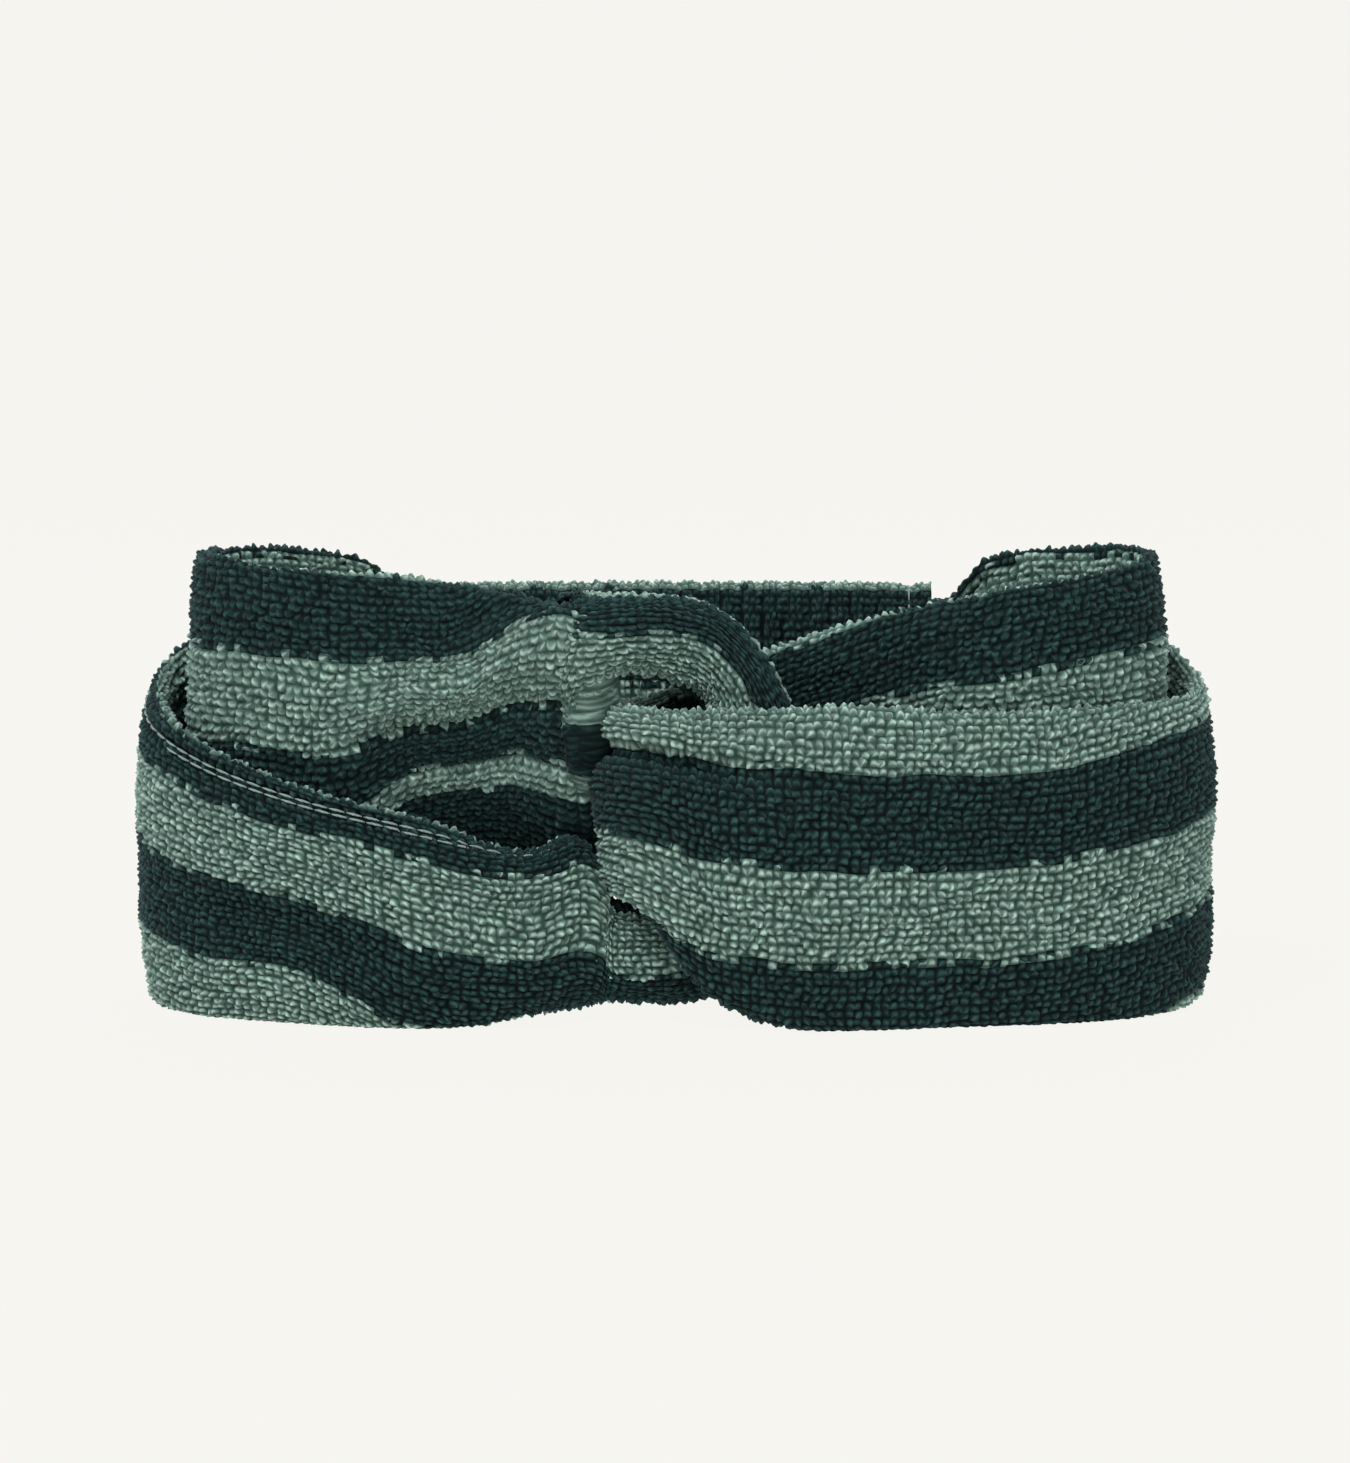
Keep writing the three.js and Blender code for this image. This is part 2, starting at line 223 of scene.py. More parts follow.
def pleated_end(side, layer, roll, down=False):
    """A strand's end, pressed flat in the casing's mouth on its outer or inner side."""
    offset = layer * (PLEATED_THICKNESS + LAYER_GAP) / 2
    low = CASING_MIDDLE_Z - PLEATED_WIDTH / 2
    high = low + PLEATED_WIDTH
    mouth = CASING_LENGTH / 2
    places = [side * (mouth - TUCK_LENGTH), side * (mouth + MOUTH_MARGIN)]
    return [
        upright(x, casing_y(x) + offset, low, high, PLEATED_THICKNESS, down, roll=roll)
        for x in places
    ]


def outer_back(roll):
    """The outer strand from the neck to the widest point: angle, low edge, high edge and roll."""
    rows = [(0.74, 15, 81), (0.44, 8, 78), (0.11, 3, 71.5)]
    return [(share * NECK_ANGLE, low, high, roll) for share, low, high in rows]


def inner_back(roll):
    """The inner strand from the widest point to the neck."""
    rows = [(0.11, 24, LOOP_TOP), (0.44, 24, LOOP_TOP), (0.74, 25, LOOP_TOP - 1)]
    return [(share * NECK_ANGLE, low, high, roll) for share, low, high in rows]


def left_bend():
    """Under the right loop's fold, up between its strands and back over it as the hump."""
    top = FRONT_HEIGHT + KNOT_GAP
    hump, hump_width = (HUMP_TOP + top) / 2, HUMP_TOP - top
    under_width = FOLD_LOW - KNOT_GAP - UNDER_LOW
    under = UNDER_LOW + under_width / 2
    deep, wide, edge = BEND_WIDTH, BEND_THICKNESS, FOLD_EDGE
    tight = {"roll": 0, "bunch": 0.5, "ribs": 0.4}
    return [
        station(edge - 15, BEND_Y - 7, under + 4.5, (0, 0.1, 1), 35, 15, -5, 0.4),
        station(edge - 2.5, BEND_Y - 2, under + 6, (0, 0.15, 1), 36, 14.5, -4, 0.45),
        station(edge + 5, BEND_Y + 0.5, under, (0, 0.1, 1), under_width, deep + 1, -3, 0.5),
        station(5, BEND_Y, under + 1, (-0.3, 0, 1), under_width, deep, 2, 0.6),
        station(BEND_X - 2, BEND_Y, 30, (-1, 0, 0.3), wide, deep, 6, 0.65),
        station(BEND_X, BEND_Y, 46, (-1, 0, 0), wide, deep, **tight),
        station(BEND_X - 3, BEND_Y, 63, (-1, 0, -0.4), wide, deep, **tight),
        station(5, BEND_Y, hump - 1, (-0.2, 0, -1), hump_width - 2, deep + 1, **tight),
        station(edge + 0.5, BEND_Y - 2.5, hump + 0.4, (0, 0.1, -1), hump_width, 22, -2, 0.45, 0, 0.5),
        station(edge - 3, BEND_Y + 3, hump - 23.5, (0, 0.35, -0.94), 72, 16, -42, 0, 0.1, 0.5),
        station(edge - 15, BEND_Y + 4.5, hump - 22, (0, 0.3, -0.95), 69, 14, -47, -0.2, 0.3, 0.5),
        station(edge - 27, BEND_Y + 4.5, hump - 20.5, (0, 0.2, -0.98), 67, 12, -45, -0.4, 0.5, 0.4),
        station(edge - 38, BEND_Y + 3.3, hump - 19.5, (0, 0.08, -1), 68, 11.5, -40, -0.35, 0.3, 0.2),
    ]


def left_stations():
    """The left loop: lower strand to the front, up through the knot and back as the upper strand."""
    lower = [(-12, 0, 65, -5), (-32, -TABLE_PRESS, 58, -5), (-50, -TABLE_PRESS, 51, -5)]
    at_knot = upright(*ring_point(LEFT, -66, 0), -TABLE_PRESS, 45, STRAND_THICKNESS, roll=-5, bunch=0.3)
    upper = [(-50, 27, LOOP_TOP - 2.5, -25), (-32, 25, LOOP_TOP - 1, -26), (-12, 24, LOOP_TOP, -26)]
    return (
        pleated_end(LEFT, OUTER, -5)
        + [neck(LEFT, 0, 27, 84, -5)]
        + round_side(LEFT, 0, outer_back(-5) + lower)
        + [at_knot]
        + left_bend()
        + round_side(LEFT, INNER_INSET, upper + inner_back(-27), down=True)
        + [neck(LEFT, NECK_INSET, 29, LOOP_TOP - 4, -27, down=True)]
        + pleated_end(LEFT, INNER, -27, down=True)[::-1]
    )


def right_fold():
    """Along the front, round the left loop's bend and back behind it."""
    high, thick, thin = FRONT_HEIGHT, FRONT_THICKNESS, BACK_THICKNESS
    return [
        upright(30, FRONT_Y, -TABLE_PRESS, high, thick, roll=-1),
        upright(8, FRONT_Y, 6, high, thick, roll=-0.5, bunch=0.1),
        upright(FOLD_X + 6, FRONT_Y + 2.5, FOLD_LOW - 3, high, thick, roll=-0.5, bunch=0.3, ribs=0.3),
        upright(FOLD_X, BEND_Y, FOLD_LOW, high - 0.8, thick, roll=-1.5, bunch=0.3, ribs=0.3),
        upright(FOLD_X + 6, BACK_Y - 2.5, FOLD_LOW, high - 0.8, thin + 1, roll=-1),
        upright(6, BACK_Y, FOLD_LOW - 1, high + 3, thin, roll=-2),
        upright(23, BACK_Y, FOLD_LOW - 1, high + 10, thin, roll=-2.5),
        upright(46, BACK_Y - 6, FOLD_LOW - 2, high + 18, thin, roll=-6),
    ]


def right_stations():
    """The right loop: front strand to the fold, through the left loop's eye and back behind it."""
    high = FRONT_HEIGHT
    lower = [(-12, 1, high, 6), (-32, -TABLE_PRESS, high - 1, 4), (-50, -TABLE_PRESS, high - 1.5, 0),
             (-66, -TABLE_PRESS, high - 1, -1)]
    upper = [(-52, 24, LOOP_TOP - 6, -7), (-32, 24, LOOP_TOP - 3, -8), (-12, 24, LOOP_TOP - 1, -8.5)]
    return (
        pleated_end(RIGHT, OUTER, 6)
        + [neck(RIGHT, 0, 27, 84, 6)]
        + round_side(RIGHT, 0, outer_back(6) + lower)
        + right_fold()
        + round_side(RIGHT, INNER_INSET, upper + inner_back(-9))
        + [neck(RIGHT, NECK_INSET, 29, LOOP_TOP - 4, -9)]
        + pleated_end(RIGHT, INNER, -9)[::-1]
    )


# ---------------------------------------------------------------- a strand's surface

PLACES_ALONG, PLACES_ROUND = 2400, 241
LEAST_CURL = 1e-3


class Strand:
    """A flattened cloth tube. Its grid runs along the tube and once round it from the width's end."""

    def __init__(self, stations, turn, power=2.6):
        self.stations = np.array(stations, float)
        self.turn = turn
        self.power = power
        self.dense = np.linspace(0, len(stations) - 1, PLACES_ALONG)
        line = spline(self.stations[:, :3], self.dense)
        steps = np.linalg.norm(np.diff(line, axis=0), axis=1)
        self.travel = np.concatenate([[0], np.cumsum(steps)])
        self.length = self.travel[-1]

    def section(self, width, thickness, curl, share):
        """Outward and sideways offsets at equal steps round each section."""
        turned = math.pi / 2 - self.turn * np.linspace(0, 2 * math.pi, PLACES_ROUND)
        unit_out = signed_power(np.cos(turned), 2 / self.power)
        unit_side = signed_power(np.sin(turned), 2 / self.power)
        outward, sideways = np.empty((2, len(width), len(share)))
        for row, (w, t) in enumerate(zip(width, thickness)):
            out, side = unit_out * t / 2, unit_side * w / 2
            walked = np.concatenate([[0], np.cumsum(np.hypot(np.diff(out), np.diff(side)))])
            walked /= walked[-1]
            outward[row] = np.interp(share, walked, out)
            sideways[row] = np.interp(share, walked, side)
        curled = np.abs(curl)[:, None] > LEAST_CURL
        radius = np.where(curled, width[:, None] / np.where(curled, curl[:, None], 1), 1)
        swing = sideways / radius
        curled_out = (radius + outward) * np.cos(swing) - radius
        curled_side = (radius + outward) * np.sin(swing)
        return np.where(curled, curled_out, outward), np.where(curled, curled_side, sideways)

    def grid(self, rows, columns):
        """Points of the surface, and where each one lies in the cloth.

        Gives points (rows, columns, 3), distance along and place in stations (rows), cloth round
        (rows, columns + 1) and ribbing (rows)."""
        travel = np.linspace(0, self.length, rows)
        place = np.interp(travel, self.travel, self.dense)
        values = spline(self.stations, place)
        middle, wide = values[:, :3], unit(values[:, 3:6])
        out = unit(np.cross(np.gradient(middle, axis=0), wide))
        share = np.arange(columns + 1) / columns
        width, thickness, roll, bunch, curl, ribs = values[:, 6:].T
        outward, sideways = self.section(width, thickness - 2 * PILE_INSET, curl, share[:-1])
        points = middle[:, None] + out[:, None] * outward[..., None] + wide[:, None] * sideways[..., None]
        moved = bunch[:, None] * (1 - np.cos(2 * math.pi * share)) / (2 * math.pi)
        round_mm = CLOTH_ROUND * (share - moved) + roll[:, None]
        return points, travel, place, round_mm, np.clip(ribs, 0, 1)


def grid_normals(points):
    """Outward normals of a grid that closes round its second axis."""
    along = np.gradient(points, axis=0)
    across = np.roll(points, -1, axis=1) - np.roll(points, 1, axis=1)
    normals = unit(np.cross(along, across) + 1e-12)
    outward = points - points.mean(axis=1, keepdims=True)
    return normals * np.sign((normals * outward).sum())


def above_table(points):
    """Cloth that would dip under the table is pressed flat on it, and cloth well above it stays."""
    height = points[..., 2] - TABLE_CLEARANCE
    pressed = PRESS_SOFTNESS * np.logaddexp(0, height / PRESS_SOFTNESS)
    points[..., 2] = np.where(height > PRESS_REACH, height, pressed) + TABLE_CLEARANCE
    return points


# ---------------------------------------------------------------- terry pile

# How far the knit runs off straight, in lumps, and how its loops vary. Shifts and ridges are shares of a
# loop's cell, heights are shares of the pile's height, and leans are millimetres.
WANDER_ALONG, WANDER_ROUND = (0.8, 9, 6), (0.6, 7, 5)
SHIFT_ALONG, SHIFT_ACROSS = 0.26, 0.22
DOME_POWER = 0.9
RIDGE_HEIGHT, RIDGE_SHARE = 0.85, 0.7
MEAN_HEIGHT, HEIGHT_SPREAD = 0.76, 0.3
LEAN_ALONG, LEAN_ACROSS = 0.4, 0.35
CLOTH_LEVEL = 0.5


def wandering(along, round_mm, seed, cloth_round):
    """The knit's rows and columns run a little off straight, as soft cloth's do."""
    off_along = soft_noise(along, round_mm, WANDER_ALONG, seed, cloth_round)
    off_round = soft_noise(along, round_mm, WANDER_ROUND, seed + 1, cloth_round)
    return along + off_along, round_mm + off_round


def pile(travel, round_mm, ribs, seed, loops_round):
    """Height, 0 to 1, of the knitted loops at each grid point, and a sideways lean for each loop."""
    random = np.random.default_rng(seed).uniform(-1, 1, (5, RANDOM_ROWS, loops_round))
    tall, lean_along, lean_across, shift_along, shift_across = random
    v = round_mm / LOOP_ACROSS
    j = np.floor(v).astype(int)
    u = travel / LOOP_ALONG + ROW_SHIFT * (j % 2)
    i = np.floor(u).astype(int)
    loop = (i % RANDOM_ROWS, j % loops_round)
    across_loop = np.clip(v - j + SHIFT_ACROSS * shift_across[loop], 0, 1)
    along_loop = np.clip(u - i + SHIFT_ALONG * shift_along[loop], 0, 1)
    dome_along = np.sin(math.pi * along_loop) ** DOME_POWER
    dome_along = dome_along + (RIDGE_HEIGHT - dome_along) * RIDGE_SHARE * ribs
    dome = dome_along * np.sin(math.pi * across_loop) ** DOME_POWER
    height = dome * (MEAN_HEIGHT + HEIGHT_SPREAD * tall[loop])
    return height, height * lean_along[loop], height * lean_across[loop]


def fluffed(points, travel, round_mm, ribs, seed, loops_round, pile_height):
    """The grid with its terry loops raised on it, and their height, which the material uses to paint shade
    between the loops.
    """
    normals = grid_normals(points)
    height, lean_along, lean_across = pile(travel, round_mm, ribs, seed, loops_round)
    along = unit(np.gradient(points, axis=0))
    across = np.cross(normals, along)
    points = points + normals * (pile_height * (height - CLOTH_LEVEL))[..., None]
    leaning = along * (LEAN_ALONG * lean_along)[..., None]
    return points + leaning + across * (LEAN_ACROSS * lean_across)[..., None], height


def cloth_mesh(name, points, along_edges, round_edges, height, closed_ends=True):
    """A smooth mesh from a grid that wraps round, with its cloth lengths as a UV map."""
    rows, columns = points.shape[:2]
    r, c = np.meshgrid(np.arange(rows - 1), np.arange(columns), indexing="ij")
    right = (c + 1) % columns
    corners = [r * columns + c, r * columns + right, (r + 1) * columns + right, (r + 1) * columns + c]
    quads = np.stack(corners, axis=-1).reshape(-1, 4)
    at_corners = [(r, c), (r, c + 1), (r + 1, c + 1), (r + 1, c)]
    u = np.stack([along_edges[corner] for corner in at_corners], -1)
    v = np.stack([round_edges[corner] for corner in at_corners], -1)
    vertices, heights = points.reshape(-1, 3) * MM, height.reshape(-1)
    uv = np.stack([u.ravel(), v.ravel()], -1)
    flat, totals = quads.ravel(), np.full(len(quads), 4)
    if closed_ends:
        ring = np.arange(columns)
        after, last_row = (ring + 1) % columns, (rows - 1) * columns
        first = np.stack([after, ring, np.full(columns, rows * columns)], -1)
        last = np.stack([last_row + ring, last_row + after, np.full(columns, rows * columns + 1)], -1)
        fans = np.concatenate([first, last])
        vertices = np.concatenate([vertices, points[[0, -1]].mean(axis=1) * MM])
        heights = np.concatenate([heights, [0, 0]])
        flat = np.concatenate([flat, fans.ravel()])
        totals = np.concatenate([totals, np.full(len(fans), 3)])
        uv = np.concatenate([uv, np.zeros((len(fans) * 3, 2))])
    mesh = bpy.data.meshes.new(name)
    mesh.vertices.add(len(vertices))
    mesh.vertices.foreach_set("co", vertices.ravel())
    mesh.loops.add(len(flat))
    mesh.loops.foreach_set("vertex_index", flat)
    mesh.polygons.add(len(totals))
    mesh.polygons.foreach_set("loop_start", np.concatenate([[0], np.cumsum(totals)[:-1]]))
    mesh.polygons.foreach_set("loop_total", totals)
    mesh.polygons.foreach_set("use_smooth", np.ones(len(totals), bool))
    mesh.uv_layers.new(name="cloth").data.foreach_set("uv", uv.ravel())
    mesh.attributes.new("pile", "FLOAT", "POINT").data.foreach_set("value", heights)
    mesh.update(calc_edges=True)
    mesh.validate()
    return add_object(name, mesh)


def add_object(name, mesh):
    piece = bpy.data.objects.new(name, mesh)
    bpy.context.scene.collection.objects.link(piece)
    return piece


def faces_outward(piece):
    """Turns every face round if the closed mesh came out inside out."""
    work = bmesh.new()
    work.from_mesh(piece.data)
    if work.calc_volume(signed=True) < 0:
        bmesh.ops.reverse_faces(work, faces=work.faces)
        work.to_mesh(piece.data)
    work.free()


# ---------------------------------------------------------------- the two loops

# A crease runs between two stations: (from, to, mm round the cloth at each, depth, half width).
# A ridge is a crease of negative depth.
LEFT_CREASES = [
    (1.5, 10.6, 0.0, 0.0, 1.5, 1.3),
    (18.0, 23.6, 8.0, 9.0, 2.2, 2.6),
    (18.6, 22.5, -5.0, -6.0, 1.6, 2.2),
    (18.2, 23.8, 24.0, 13.0, -1.8, 6.0),
    (18.0, 22.0, 33.0, 36.0, 1.3, 4.0),
    (5.5, 9.5, 40.0, 34.0, 1.2, 6.0),
]
RIGHT_CREASES = [
    (9.6, 16.0, 15.5, 14.5, 4.4, 2.8),
    (9.9, 16.0, 7.0, 6.0, -1.3, 5.0),
    (10.4, 13.9, 38.0, 40.0, 1.2, 5.0),
    (10.8, 13.9, 57.0, 58.0, 1.6, 4.0),
    (4.5, 8.5, 50.0, 44.0, 0.9, 7.0),
]


BIG_LUMPS, SMALL_LUMPS = (0.6, 26, 19), (0.3, 9, 7)
PLEATS_ROUND, PLEAT_DEPTH = 13, 1.1
PLEAT_SWAY, PLEAT_SWAY_RUN = 1.5, 11
PLEATED_RUN, PLEAT_FADE_RUN = 12, 34


def off_centre(round_mm, centre):
    """How far round the cloth each point is from a line, the shorter way."""
    return (round_mm - centre + CLOTH_ROUND / 2) % CLOTH_ROUND - CLOTH_ROUND / 2


def creased(place, round_mm, creases):
    """How far each point sinks into the creases, in millimetres."""
    sunk = np.zeros_like(round_mm)
    for start, end, at_start, at_end, depth, half in creases:
        share = np.clip((place - start) / (end - start), 0, 1)
        window = smooth_step(share * 3) * smooth_step((1 - share) * 3)
        centre = at_start + (at_end - at_start) * share
        away = off_centre(round_mm, centre[:, None])
        sunk += depth * window[:, None] * np.exp(-((away / half) ** 2))
    return sunk


def end_pleats(from_end, round_mm):
    """Lengthwise pleats that gather each end of a strand into the casing's mouth."""
    fade = smooth_step(1 - (from_end - PLEATED_RUN) / PLEAT_FADE_RUN)
    sway = PLEAT_SWAY * np.sin(round_mm / PLEAT_SWAY_RUN)
    wave = np.sin(round_mm / CLOTH_ROUND * 2 * math.pi * PLEATS_ROUND + sway)
    return PLEAT_DEPTH * fade * wave


def loop_piece(name, strand, creases, seed):
    """One cloth loop with its soft lumps, creases, pleats and terry pile."""
    cells = round(strand.length / LOOP_ALONG)
    rows, columns = cells * POINTS_ALONG + 1, LOOPS_ROUND * POINTS_ACROSS
    points, travel, place, round_edges, ribs = strand.grid(rows, columns)
    round_mm, along = round_edges[:, :-1], np.repeat(travel[:, None], columns, 1)
    lumps = soft_noise(along, round_mm, BIG_LUMPS, seed, CLOTH_ROUND)
    lumps += soft_noise(along, round_mm, SMALL_LUMPS, seed + 1, CLOTH_ROUND)
    lumps += end_pleats(np.minimum(along, strand.length - along), round_mm)
    lumps -= creased(place, round_mm, creases)
    points = points + grid_normals(points) * lumps[..., None]
    along_edges = np.repeat(travel[:, None], columns + 1, 1)
    along_edges, round_edges = wandering(along_edges, round_edges, seed + 3, CLOTH_ROUND)
    knit = along_edges[:, :-1], round_edges[:, :-1]
    points, height = fluffed(points, *knit, ribs[:, None], seed + 2, LOOPS_ROUND, PILE_HEIGHT)
    piece = cloth_mesh(name, above_table(points), along_edges, round_edges, height)
    faces_outward(piece)
    return piece


# ---------------------------------------------------------------- the gathered casing

CASING_POWER = 3.4
FOLD_PITCH = 5.0
FOLD_HEIGHT = 2.4
CASING_STRETCH = 1.25
CASING_PILE_HEIGHT = 0.9
CASING_SIDE_INSET, CASING_EDGE_INSET = 1.3, 0.9
CASING_PLACES_ROUND = 361
FOLD_BENDS, FOLD_WOBBLES, FOLD_UNEVEN = (1.9, 8, 15), (0.9, 4, 7), (0.4, 6, 18)
FOLD_SHARPNESS, FOLD_MIDDLE, MEAN_FOLD = 0.8, 0.6, 0.75
EDGE_FROM, EDGE_FLATTENING = 0.8, 0.65
MOUTH_FOLDS, MOUTH_RUN = 0.3, 5
SEAM_FLATTENING, SEAM_FLAT_REACH, SEAM_DIP_REACH = 0.7, 1.6, 1.4


def casing_outline(angle, lift=0.0):
    """Outward and upward offsets of the casing's cloth at angles round its section."""
    out = signed_power(np.cos(angle), 2 / CASING_POWER) * (CASING_THICKNESS / 2 - CASING_SIDE_INSET + lift)
    up = signed_power(np.sin(angle), 2 / CASING_POWER) * (CASING_HEIGHT / 2 - CASING_EDGE_INSET + lift)
    return out, up


def casing_grid(side, rows, columns):
    """Half of the casing's tube, from its mouth to the middle of the back: points and x."""
    x = side * np.linspace(CASING_LENGTH / 2, 0, rows)
    share = np.arange(columns) / columns
    out, up = casing_outline(np.linspace(0, 2 * math.pi, CASING_PLACES_ROUND) + math.pi / 2)
    steps = np.concatenate([[0], np.cumsum(np.hypot(np.diff(out), np.diff(up)))])
    steps /= steps[-1]
    points = np.empty((rows, columns, 3))
    points[..., 0] = x[:, None]
    points[..., 1] = casing_y(x)[:, None] + np.interp(share, steps, out)
    points[..., 2] = CASING_MIDDLE_Z + np.interp(share, steps, up)
    return points, x


def gathers(x, z, round_mm):
    """Height of the upright folds that the elastic draws into the casing."""
    warp = soft_noise(x, round_mm, FOLD_BENDS, 71) + soft_noise(x, round_mm, FOLD_WOBBLES, 72)
    fold = np.abs(np.sin(math.pi * (x + warp) / FOLD_PITCH)) ** FOLD_SHARPNESS
    uneven = MEAN_FOLD + soft_noise(x, round_mm, FOLD_UNEVEN, 73)
    to_edge = np.abs(z - CASING_MIDDLE_Z) / (CASING_HEIGHT / 2)
    flat_edge = 1 - EDGE_FLATTENING * smooth_step((to_edge - EDGE_FROM) / (1 - EDGE_FROM))
    return FOLD_HEIGHT * (fold - FOLD_MIDDLE) * uneven * flat_edge


def near_join(walk, reach):
    """1 on the row of stitches by the casing's mouth, and 0 away from it."""
    return np.exp(-(((walk - TUCK_LENGTH / 2) / reach) ** 2))


def casing_half(name, side, seed):
    """Half of the ruched casing, with its folds and pile."""
    rows = round(CASING_LENGTH / 2) * POINTS_ALONG // 2 * 2 + 1
    columns = CASING_LOOPS_ROUND * POINTS_ACROSS
    points, x = casing_grid(side, rows, columns)
    walk = CASING_LENGTH / 2 - np.abs(x)
    casing_round = CASING_LOOPS_ROUND * LOOP_ACROSS
    round_edges = np.repeat(np.arange(columns + 1)[None] / columns * casing_round, rows, 0)
    round_mm = round_edges[:, :-1]
    x_grid = np.repeat(x[:, None], columns, 1)
    at_mouth = MOUTH_FOLDS + (1 - MOUTH_FOLDS) * smooth_step(walk / MOUTH_RUN)
    stitched = 1 - SEAM_FLATTENING * near_join(walk, SEAM_FLAT_REACH)
    folds = gathers(x_grid, points[..., 2], round_mm) * (at_mouth * stitched)[:, None]
    folds -= near_join(walk, SEAM_DIP_REACH)[:, None]
    points = points + grid_normals(points) * folds[..., None]
    travel = walk * CASING_STRETCH
    along_edges = np.repeat(travel[:, None], columns + 1, 1)
    flat = np.zeros((rows, 1))
    knit = along_edges[:, :-1], round_mm
    points, height = fluffed(points, *knit, flat, seed, CASING_LOOPS_ROUND, CASING_PILE_HEIGHT)
    points[-1, :, 0] = 0
    return cloth_mesh(name, points, along_edges, round_edges, height, closed_ends=False)


STRAP_ROWS, STRAP_COLUMNS = 61, 240
RIB_HEIGHT, RIB_PITCH = 0.12, 2.5


def strap_half(name, side):
    """Half of the elastic strap, ribbed lengthwise where its rubber cores run."""
    rows, columns = STRAP_ROWS, STRAP_COLUMNS
    x = side * np.linspace(CASING_LENGTH / 2 - TUCK_LENGTH - LAYER_GAP, 0, rows)
    angle = np.arange(columns) / columns * 2 * math.pi
    up = signed_power(np.sin(angle), 0.5) * ELASTIC_WIDTH / 2
    ribs = RIB_HEIGHT * np.cos(2 * math.pi * up / RIB_PITCH)
    out = signed_power(np.cos(angle), 0.5) * (ELASTIC_THICKNESS / 2 - RIB_HEIGHT + ribs)
    points = np.empty((rows, columns, 3))
    points[..., 0] = x[:, None]
    points[..., 1] = casing_y(x)[:, None] + out
    points[..., 2] = CASING_MIDDLE_Z + up
    round_edges = np.repeat(np.arange(columns + 1)[None] / columns * 2 * ELASTIC_WIDTH, rows, 0)
    along_edges = np.repeat(np.abs(x)[:, None], columns + 1, 1)
    return cloth_mesh(name, points, along_edges, round_edges, np.zeros((rows, columns)), closed_ends=False)


# ---------------------------------------------------------------- stitches

STITCH_POINTS, STITCH_SIDES = 6, 6
STITCH_TAPER = np.array([0.35, 0.85, 1, 1, 0.85, 0.35])
STITCH_ARCH, STITCH_SINK = 0.35, 0.15
TACK_STITCHES, TACK_PITCH = 22, 1.7
TACK_LEAN, TACK_RISE = 1.1, 0.85
TACK_INSET, TACK_LIFT = 3, 0.3
CASING_SEAM_PLACES, CASING_SEAM_LIFT = 60, 0.2
HALVES_GAP = 0.3
TO_FRONT = [0.0, -1.0, 0.0]

# The lines of stitches on the loops: from and to station, mm round the cloth, and lift off it.
LEFT_SEAM_LINES = [(1.5, 10.6, 0.0, -0.2), (6.4, 9.6, 1.5, 0.0)]
RIGHT_SEAM_LINES = [(19.5, 23.5, 40.0, 0.4)]


def one_stitch(middle, normal, radius):
    """Vertices and faces of a short rounded thread that dips into the cloth at both ends."""
    along = unit(np.gradient(middle, axis=0))
    side = unit(np.cross(along, normal))
    arch = np.sin(np.linspace(0, math.pi, STITCH_POINTS))
    thick = radius * STITCH_TAPER
    middle = middle + normal * (arch * STITCH_ARCH - STITCH_SINK)[:, None]
    turn = np.arange(STITCH_SIDES) * 2 * math.pi / STITCH_SIDES
    rings = normal[:, None] * np.cos(turn)[None, :, None] + side[:, None] * np.sin(turn)[None, :, None]
    vertices = (middle[:, None] + rings * thick[:, None, None]).reshape(-1, 3) * MM
    faces = []
    for k in range(STITCH_POINTS - 1):
        for s in range(STITCH_SIDES):
            a, b = k * STITCH_SIDES + s, k * STITCH_SIDES + (s + 1) % STITCH_SIDES
            faces.append((a, b, b + STITCH_SIDES, a + STITCH_SIDES))
    last = (STITCH_POINTS - 1) * STITCH_SIDES
    faces.append(tuple(range(STITCH_SIDES))[::-1])
    faces.append(tuple(last + s for s in range(STITCH_SIDES)))
    return vertices, faces


def stitch_rows(name, rows, length=3.6, gap=0.3, radius=0.27):
    """Rows of separate stitches lying on the cloth. A row is a line and its normals."""
    vertices, faces, count = [], [], 0
    for line, normals in rows:
        steps = np.concatenate([[0], np.cumsum(np.linalg.norm(np.diff(line, axis=0), axis=1))])
        for start in np.arange(0, steps[-1] - length + 1e-6, length + gap):
            at = start + length * np.linspace(0, 1, STITCH_POINTS)
            middle = np.stack([np.interp(at, steps, line[:, k]) for k in range(3)], -1)
            normal = unit(np.stack([np.interp(at, steps, normals[:, k]) for k in range(3)], -1))
            points, sides = one_stitch(middle, normal, radius)
            vertices.append(points)
            faces += [tuple(count + corner for corner in face) for face in sides]
            count += len(points)
    mesh = bpy.data.meshes.new(name)
    mesh.from_pydata(np.concatenate(vertices).tolist(), [], faces)
    mesh.shade_smooth()
    mesh.update()
    piece = add_object(name, mesh)
    faces_outward(piece)
    return piece


def strand_line(strand, start, end, cloth_mm, lift):
    """Points and normals along a strand at a fixed distance round its cloth."""
    points, _, place, round_edges, _ = strand.grid(rows=900, columns=300)
    normals = grid_normals(points)
    chosen = np.flatnonzero((place >= start) & (place <= end))
    column = np.abs(off_centre(round_edges[chosen, :-1], cloth_mm)).argmin(axis=1)
    return points[chosen, column] + normals[chosen, column] * lift, normals[chosen, column]


